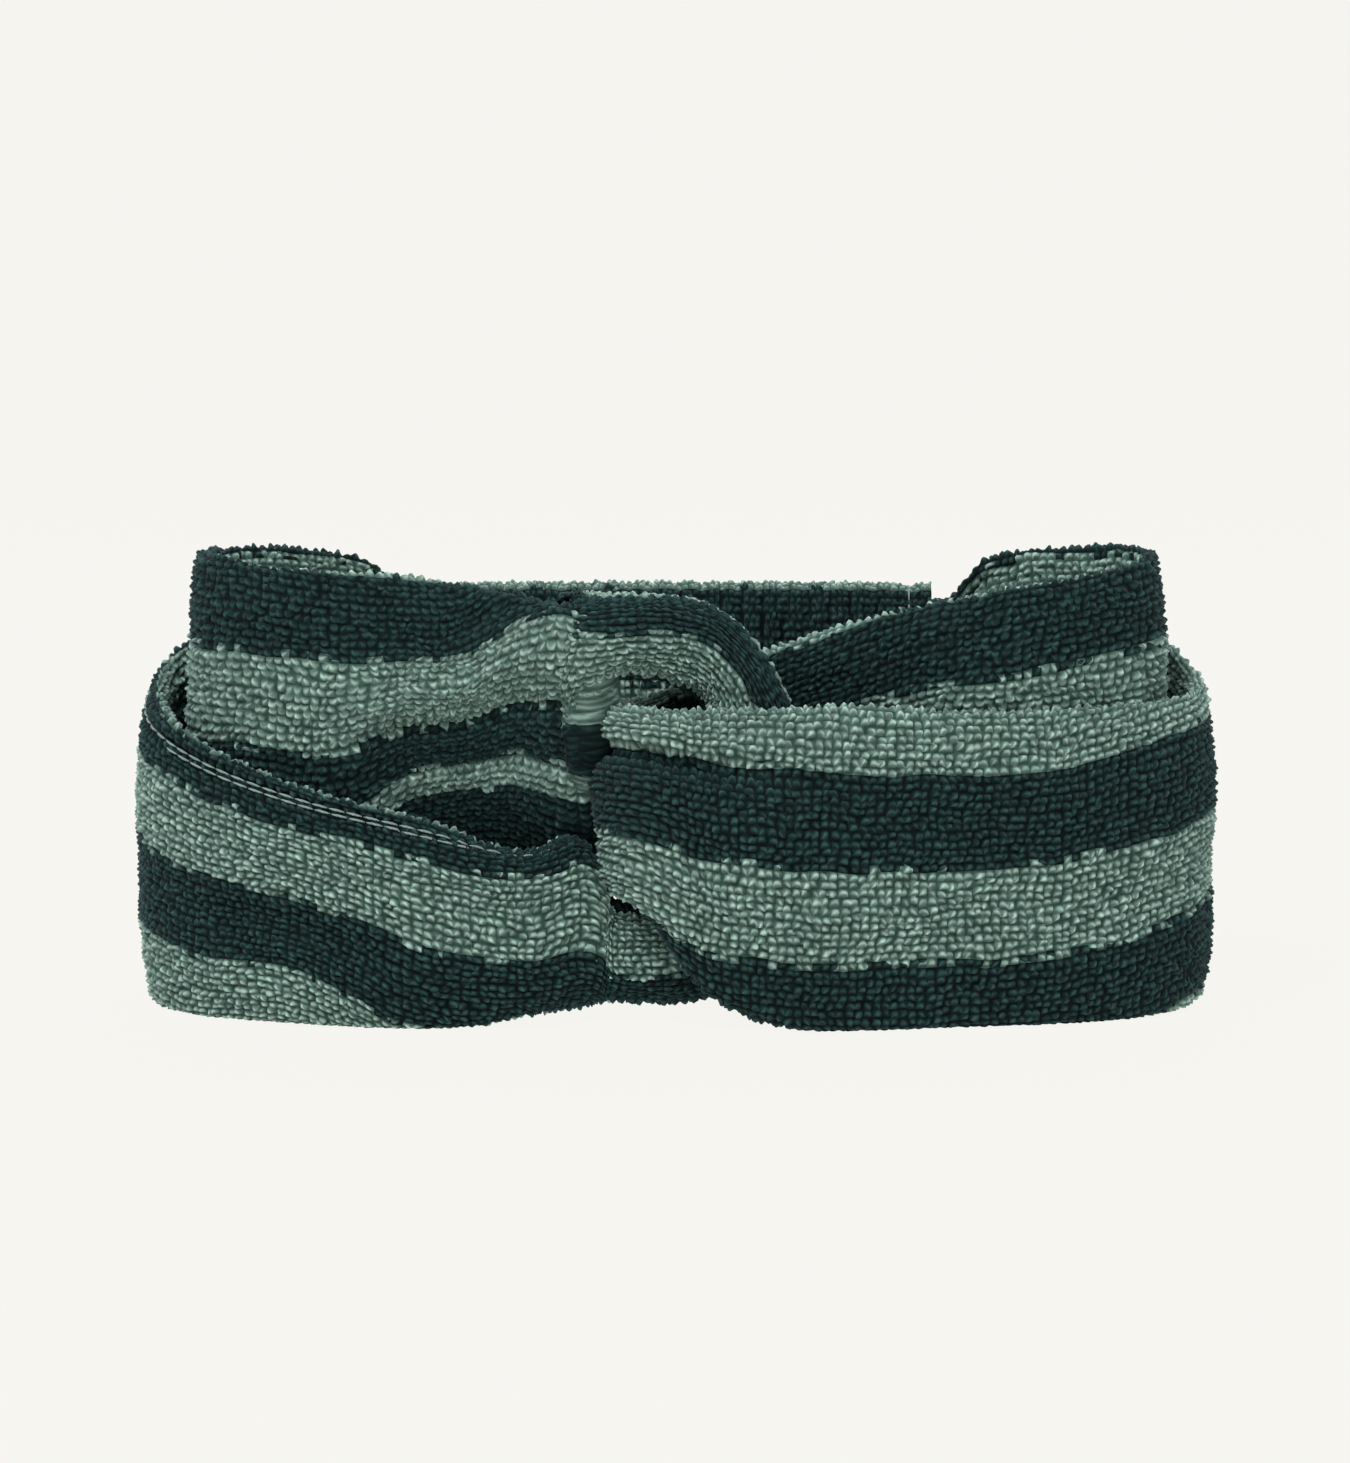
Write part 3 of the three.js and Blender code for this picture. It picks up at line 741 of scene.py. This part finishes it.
def casing_ring(side, lift):
    """A line round the casing, a little in from its mouth, and its normals."""
    x = side * (CASING_LENGTH - TUCK_LENGTH) / 2
    angle = np.linspace(0, 2 * math.pi, PLACES_ROUND)
    out, up = casing_outline(angle, lift)
    line = np.stack([np.full(PLACES_ROUND, x), casing_y(x) + out, CASING_MIDDLE_Z + up], -1)
    normals = np.stack([np.zeros(PLACES_ROUND), np.cos(angle), np.sin(angle)], -1)
    return line, normals


def casing_seam_line(side):
    """The line of the casing's closing seam, along the middle of its inner face."""
    x = side * np.linspace(CASING_LENGTH / 2 - 2 * TUCK_LENGTH, HALVES_GAP, CASING_SEAM_PLACES)
    y = casing_y(x) - CASING_THICKNESS / 2 - CASING_SEAM_LIFT
    line = np.stack([x, y, np.full(CASING_SEAM_PLACES, CASING_MIDDLE_Z)], -1)
    return line, np.repeat([TO_FRONT], CASING_SEAM_PLACES, 0)


def tack_rows(side):
    """The zigzag bar of stitches down one end of the elastic strap."""
    x = side * (CASING_LENGTH / 2 - TUCK_LENGTH - TACK_INSET)
    y = casing_y(x) - ELASTIC_THICKNESS / 2 - TACK_LIFT
    rows = []
    for k in range(TACK_STITCHES):
        z = CASING_MIDDLE_Z + (k - (TACK_STITCHES - 1) / 2) * TACK_PITCH
        lean = TACK_LEAN if k % 2 else -TACK_LEAN
        line = np.array([[x - lean, y, z - TACK_RISE], [x + lean, y, z + TACK_RISE]])
        rows.append((line, np.repeat([TO_FRONT], 2, 0)))
    return rows


# ---------------------------------------------------------------- materials

class Nodes:
    """A small builder for a material's node tree."""

    def __init__(self, name):
        self.material = bpy.data.materials.new(name)
        self.material.use_nodes = True
        self.tree = self.material.node_tree
        self.shader = self.tree.nodes["Principled BSDF"]

    def add(self, kind, **settings):
        node = self.tree.nodes.new(kind)
        for key, value in settings.items():
            setattr(node, key, value)
        return node

    def link(self, source, target):
        self.tree.links.new(source, target)

    def put(self, value, socket):
        """Sets a socket to a number or a colour, or links an output to it."""
        if isinstance(value, bpy.types.NodeSocket):
            self.link(value, socket)
        else:
            socket.default_value = (*value, 1) if isinstance(value, tuple) else value

    def math(self, operation, a, b=None):
        node = self.add("ShaderNodeMath", operation=operation)
        self.put(a, node.inputs[0])
        if b is not None:
            self.put(b, node.inputs[1])
        return node.outputs[0]

    def mix(self, factor, a, b):
        node = self.add("ShaderNodeMixRGB")
        for socket, value in zip(node.inputs, (factor, a, b)):
            self.put(value, socket)
        return node.outputs[0]

    def noise(self, vector, scale, detail=2.0):
        node = self.add("ShaderNodeTexNoise")
        node.inputs["Scale"].default_value = scale
        node.inputs["Detail"].default_value = detail
        self.link(vector, node.inputs["Vector"])
        return node.outputs["Fac"]

    def object_place(self):
        return self.add("ShaderNodeTexCoord").outputs["Object"]

    def bump(self, height, strength, distance):
        node = self.add("ShaderNodeBump")
        node.inputs["Strength"].default_value = strength
        node.inputs["Distance"].default_value = distance
        self.link(height, node.inputs["Height"])
        self.link(node.outputs[0], self.shader.inputs["Normal"])


# Each stripe's yarn colour at a loop's top, and a darker copy of it that is painted shade in the gaps between
# loops and in their holes.
SAGE_TOP, SAGE_GAP_SHADE = (0.375, 0.535, 0.468), (0.030, 0.070, 0.056)
TEAL_TOP, TEAL_GAP_SHADE = (0.028, 0.074, 0.070), (0.001, 0.006, 0.006)

# How a loop's yarn lies in its cell, in shares of the cell; then the painted light on the yarn, the painted
# shade in the hole, and how fast the painted shade deepens down the loop's sides.
YARN_LEAN, YARN_BOW, YARN_START, YARN_FINENESS = 0.5, 2.4, 0.3, 2.6
YARN_PAINTED_LIGHT, HOLE_SHADE_LEVEL, HEIGHT_POWER = 0.95, 0.38, 0.8
# How far stripe edges stray, in millimetres, and how the colour varies by patch, by loop and in hue.
EDGE_WANDER, EDGE_JAG = 3.0, 1.1
MEAN_TONE, PATCH_TONE, LOOP_TONE = 0.61, 0.36, 0.42
MEAN_HUE, HUE_SPREAD = 0.49, 0.02
EDGE_SCALE, PATCH_SCALE, HUE_SCALE, FIBRE_SCALE = 0.16, 0.05, 0.4, 3800

# Where one stripe ends and the next begins, in mm round the cloth from its seam, and whether the first
# stripe is sage.
LEFT_STRIPES = (False, [8, 29, 50, 71, 92, 113, 137, 145])
RIGHT_STRIPES = (True, [14, 35, 56, 77, 98, 101, 122, 143])
CASING_STRIPES = (True, [3, 24, 45, 66, 80, 101])


def sage_mask(n, round_mm, cloth_round, stripes):
    """1 in the sage stripes and 0 in the teal ones."""
    is_sage, ends = stripes
    ramp = n.add("ShaderNodeValToRGB")
    ramp.color_ramp.interpolation = "CONSTANT"
    marks = ramp.color_ramp.elements
    marks.remove(marks[1])
    marks[0].position = 0
    marks[0].color = (is_sage, is_sage, is_sage, 1)
    for end in ends:
        is_sage = not is_sage
        marks.new(end / cloth_round).color = (is_sage, is_sage, is_sage, 1)
    n.link(n.math("FRACT", n.math("DIVIDE", round_mm, cloth_round)), ramp.inputs[0])
    return ramp.outputs["Color"]


def bent_yarn(n, along, across, lean):
    """1 on a loop's bent yarn and 0 in its hole, from the place in the loop's cell and a random lean: the
    mask for painted light on the yarn and painted shade in the hole.
    """
    along = n.math("ADD", n.math("SUBTRACT", along, 0.5), n.math("MULTIPLY", lean, YARN_LEAN))
    bow = n.math("MULTIPLY", n.math("MULTIPLY", along, along), YARN_BOW)
    away = n.math("ABSOLUTE", n.math("SUBTRACT", n.math("SUBTRACT", across, YARN_START), bow))
    return n.math("MAXIMUM", n.math("SUBTRACT", 1.0, n.math("MULTIPLY", away, YARN_FINENESS)), 0.0)


def loop_speckle(n, column, row):
    """A random value from 0 to 1 for each loop of the knit."""
    cell = n.add("ShaderNodeCombineXYZ")
    n.link(column, cell.inputs[0])
    n.link(row, cell.inputs[1])
    speckle = n.add("ShaderNodeTexWhiteNoise", noise_dimensions="2D")
    n.link(cell.outputs[0], speckle.inputs["Vector"])
    return speckle.outputs["Value"]


def toned(n, colour, uv, speckle):
    """The colour a little lighter or darker by patch and by loop, and a little off in hue."""
    tone = n.add("ShaderNodeHueSaturation")
    patches = n.math("MULTIPLY", n.noise(uv, PATCH_SCALE), PATCH_TONE)
    loops = n.math("MULTIPLY", speckle, LOOP_TONE)
    n.link(colour, tone.inputs["Color"])
    n.link(n.math("ADD", n.math("ADD", patches, loops), MEAN_TONE), tone.inputs["Value"])
    stray = n.math("MULTIPLY", n.noise(uv, HUE_SCALE), HUE_SPREAD)
    n.link(n.math("ADD", stray, MEAN_HUE), tone.inputs["Hue"])
    return tone.outputs[0]


def cotton_surface(n):
    """Fine fibres and a soft sheen."""
    n.bump(n.noise(n.object_place(), FIBRE_SCALE, 3.0), 0.55, 0.3 * MM)
    n.shader.inputs["Roughness"].default_value = 0.95
    n.shader.inputs["Specular IOR Level"].default_value = 0.15
    n.shader.inputs["Sheen Weight"].default_value = 0.16
    n.shader.inputs["Sheen Roughness"].default_value = 0.4
    n.shader.inputs["Sheen Tint"].default_value = (0.70, 0.86, 0.92, 1)


def terry_material(name, stripes, cloth_round=CLOTH_ROUND):
    """Striped terry: each loop one colour, a little different, with painted light at its top and painted
    shade in its hole and between loops.
    """
    n = Nodes(name)
    uv = n.add("ShaderNodeUVMap", uv_map="cloth").outputs[0]
    split = n.add("ShaderNodeSeparateXYZ")
    n.link(uv, split.inputs[0])
    rows = n.math("DIVIDE", split.outputs[1], LOOP_ACROSS)
    row = n.math("FLOOR", rows)
    row_shift = n.math("MULTIPLY", n.math("FLOORED_MODULO", row, 2.0), ROW_SHIFT)
    steps_along = n.math("ADD", n.math("DIVIDE", split.outputs[0], LOOP_ALONG), row_shift)
    speckle = loop_speckle(n, n.math("FLOOR", steps_along), row)
    lean = n.math("SUBTRACT", speckle, 0.5)
    wander = n.math("MULTIPLY", n.math("SUBTRACT", n.noise(uv, EDGE_SCALE, 1.0), 0.5), EDGE_WANDER)
    jag = n.math("MULTIPLY", lean, EDGE_JAG)
    loop_middle = n.math("MULTIPLY", n.math("ADD", row, 0.5), LOOP_ACROSS)
    mask = sage_mask(n, n.math("ADD", loop_middle, n.math("ADD", wander, jag)), cloth_round, stripes)
    yarn = bent_yarn(n, n.math("FRACT", steps_along), n.math("FRACT", rows), lean)
    height = n.add("ShaderNodeAttribute", attribute_name="pile").outputs["Fac"]
    # Painted light and shade: lightest on a loop's yarn at its top, painted shade in its hole, and darkest in
    # the gaps between loops.
    lit = n.math("ADD", n.math("MULTIPLY", yarn, YARN_PAINTED_LIGHT), HOLE_SHADE_LEVEL)
    painted_pile_shade = n.math("MULTIPLY", n.math("POWER", height, HEIGHT_POWER), lit)
    striped = n.mix(mask, n.mix(painted_pile_shade, TEAL_GAP_SHADE, TEAL_TOP), n.mix(painted_pile_shade, SAGE_GAP_SHADE, SAGE_TOP))
    n.link(toned(n, striped, uv, speckle), n.shader.inputs["Base Color"])
    cotton_surface(n)
    return n.material


def thread_material():
    """Matt sewing thread with a fine twist, and painted shade in the twist's grooves."""
    n = Nodes("sewing_thread")
    twist = n.add("ShaderNodeTexWave", wave_type="BANDS", bands_direction="DIAGONAL")
    twist.inputs["Scale"].default_value = 900
    n.link(n.object_place(), twist.inputs["Vector"])
    # Painted shade: the twist's grooves are coloured darker than its ridges.
    n.link(n.mix(twist.outputs["Fac"], (0.13, 0.20, 0.18), (0.30, 0.38, 0.35)), n.shader.inputs["Base Color"])
    n.bump(twist.outputs["Fac"], 0.6, 0.1 * MM)
    n.shader.inputs["Roughness"].default_value = 0.7
    return n.material


def elastic_material():
    """Off-white knitted elastic, its valleys darker than its ribs by painted shade."""
    n = Nodes("knitted_elastic")
    place = n.object_place()
    knit = n.add("ShaderNodeTexWave", wave_type="BANDS", bands_direction="X")
    knit.inputs["Scale"].default_value = 420
    knit.inputs["Distortion"].default_value = 2.0
    n.link(place, knit.inputs["Vector"])
    weave_and_valley_shade = n.math("MULTIPLY", knit.outputs["Fac"], n.noise(place, 1500))
    # Painted shade: the knit's valleys are coloured darker than its ribs.
    n.link(n.mix(weave_and_valley_shade, (0.50, 0.49, 0.44), (0.82, 0.81, 0.77)), n.shader.inputs["Base Color"])
    n.bump(weave_and_valley_shade, 0.7, 0.25 * MM)
    n.shader.inputs["Roughness"].default_value = 0.8
    return n.material


# ---------------------------------------------------------------- camera, light and stage

CAMERA_ELEVATION = 7.0
CAMERA_LENS = 120.0
SENSOR = 36.0
VIEW_HEIGHT = 318.5
AIM = (-0.4, 0.0, 58.6)

# Lamps and stage in metres and watts: a lamp's name, place, size and power.
LAMPS = [
    ("key", (-0.5, -0.9, 1.5), (0.9, 0.7), 22),
    ("fill", (1.2, -1.1, 0.6), (1.0, 1.0), 5),
    ("back", (0.1, 1.2, 1.2), (1.4, 0.6), 9),
]
LAMP_TARGET = (0, 0, 0.05)
FLOOR_FRONT, FLOOR_BACK, FLOOR_SIDE = -3.0, 2.0, 5
SWEEP_RADIUS, SWEEP_STEPS = 1.2, 12
WALL_TOP = 5.0


def add_camera():
    data = bpy.data.cameras.new("camera")
    data.lens = CAMERA_LENS
    data.sensor_width = SENSOR
    distance = CAMERA_LENS / SENSOR * VIEW_HEIGHT * MM
    tilt = math.radians(CAMERA_ELEVATION)
    camera = bpy.data.objects.new("camera", data)
    camera.location = Vector(AIM) * MM + distance * Vector((0, -math.cos(tilt), math.sin(tilt)))
    camera.rotation_euler = (math.pi / 2 - tilt, 0, 0)
    bpy.context.scene.collection.objects.link(camera)
    bpy.context.scene.camera = camera


def add_area(name, place, size, power):
    """A soft lamp that faces the middle of the headband."""
    data = bpy.data.lights.new(name, "AREA")
    data.shape = "RECTANGLE"
    data.size, data.size_y = size
    data.energy = power
    lamp = bpy.data.objects.new(name, data)
    lamp.location = place
    lamp.rotation_euler = (Vector(LAMP_TARGET) - Vector(place)).to_track_quat("-Z", "Y").to_euler()
    bpy.context.scene.collection.objects.link(lamp)


def add_lights():
    world = bpy.data.worlds.new("studio")
    world.use_nodes = True
    background = world.node_tree.nodes["Background"]
    background.inputs["Color"].default_value = (0.97, 0.985, 1.0, 1)
    background.inputs["Strength"].default_value = 0.5
    bpy.context.scene.world = world
    for lamp in LAMPS:
        add_area(*lamp)


def add_stage():
    """A pale floor that curves up into a backdrop, with no visible horizon."""
    profile = [(FLOOR_FRONT, 0.0), (FLOOR_BACK, 0.0)]
    for step in range(1, SWEEP_STEPS + 1):
        turn = math.radians(90 * step / SWEEP_STEPS)
        back, up = SWEEP_RADIUS * math.sin(turn), SWEEP_RADIUS * (1 - math.cos(turn))
        profile.append((FLOOR_BACK + back, up))
    profile.append((FLOOR_BACK + SWEEP_RADIUS, WALL_TOP))
    vertices = [(x, y, z) for y, z in profile for x in (-FLOOR_SIDE, FLOOR_SIDE)]
    faces = [(2 * k, 2 * k + 1, 2 * k + 3, 2 * k + 2) for k in range(len(profile) - 1)]
    mesh = bpy.data.meshes.new("floor")
    mesh.from_pydata(vertices, [], faces)
    mesh.shade_smooth()
    floor = add_object("floor", mesh)
    n = Nodes("pale_floor")
    n.shader.inputs["Base Color"].default_value = (0.02, 0.02, 0.019, 1)
    n.shader.inputs["Roughness"].default_value = 1.0
    n.shader.inputs["Specular IOR Level"].default_value = 0.0
    n.shader.inputs["Emission Color"].default_value = (0.913, 0.905, 0.871, 1)
    n.shader.inputs["Emission Strength"].default_value = 0.985
    mesh.materials.append(n.material)


# ---------------------------------------------------------------- the headband

def finish_piece(piece, material, slot, *nodes):
    piece.data.materials.append(material)
    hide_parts(*nodes)


def across_elastic(piece):
    """Bakes the piece's placement into its mesh."""
    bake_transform(piece)


def build_loops():
    left = Strand(left_stations(), turn=1)
    right = Strand(right_stations(), turn=-1)
    left_piece = loop_piece("left_loop_cloth", left, LEFT_CREASES, seed=11)
    right_piece = loop_piece("right_loop_cloth", right, RIGHT_CREASES, seed=31)
    finish_piece(left_piece, terry_material("terry_left", LEFT_STRIPES), "terry_cloth", "left_loop")
    finish_piece(right_piece, terry_material("terry_right", RIGHT_STRIPES), "terry_cloth", "right_loop")
    for piece in (left_piece, right_piece):
        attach(piece, BODY_FRONT)
    return left, right


def build_loop_seams(left, right, thread):
    seam = stitch_rows("left_loop_stitches", [strand_line(left, *line) for line in LEFT_SEAM_LINES])
    finish_piece(seam, thread, "thread", "left_loop_seam_thread")
    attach(seam, BODY_FRONT)
    hidden = stitch_rows("right_loop_stitches", [strand_line(right, *line) for line in RIGHT_SEAM_LINES])
    finish_piece(hidden, thread, "thread", "right_loop_seam_thread")
    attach(hidden, BODY_FRONT)


def build_rear(thread):
    """The casing, the strap in it and their stitches, each in a left and a right half."""
    terry = terry_material("terry_casing", CASING_STRIPES, CASING_LOOPS_ROUND * LOOP_ACROSS)
    elastic = elastic_material()
    for side, word, seed in ((LEFT, "left", 51), (RIGHT, "right", 61)):
        casing = casing_half(f"rear_casing_{word}", side, seed)
        finish_piece(casing, terry, "terry_cloth", "rear_casing")
        strap = strap_half(f"elastic_strap_{word}", side)
        finish_piece(strap, elastic, "elastic", "elastic_strap")
        seam = stitch_rows(f"casing_stitches_{word}", [casing_seam_line(side)])
        finish_piece(seam, thread, "thread", "casing_seam_thread")
        tack = stitch_rows(f"elastic_tack_{word}", tack_rows(side), length=2.7, gap=0.2)
        finish_piece(tack, thread, "thread", f"{word}_elastic_tack")
        for piece in (casing, strap, seam, tack):
            across_elastic(piece)
        join = stitch_rows(f"{word}_join_stitches", [casing_ring(side, -0.9)])
        finish_piece(join, thread, "thread", f"{word}_join_stitch")
        across_elastic(join)


def main():
    bpy.context.scene.view_settings.view_transform = "Standard"
    add_camera()
    add_lights()
    add_stage()
    thread = thread_material()
    left, right = build_loops()
    build_loop_seams(left, right, thread)
    build_rear(thread)


main()
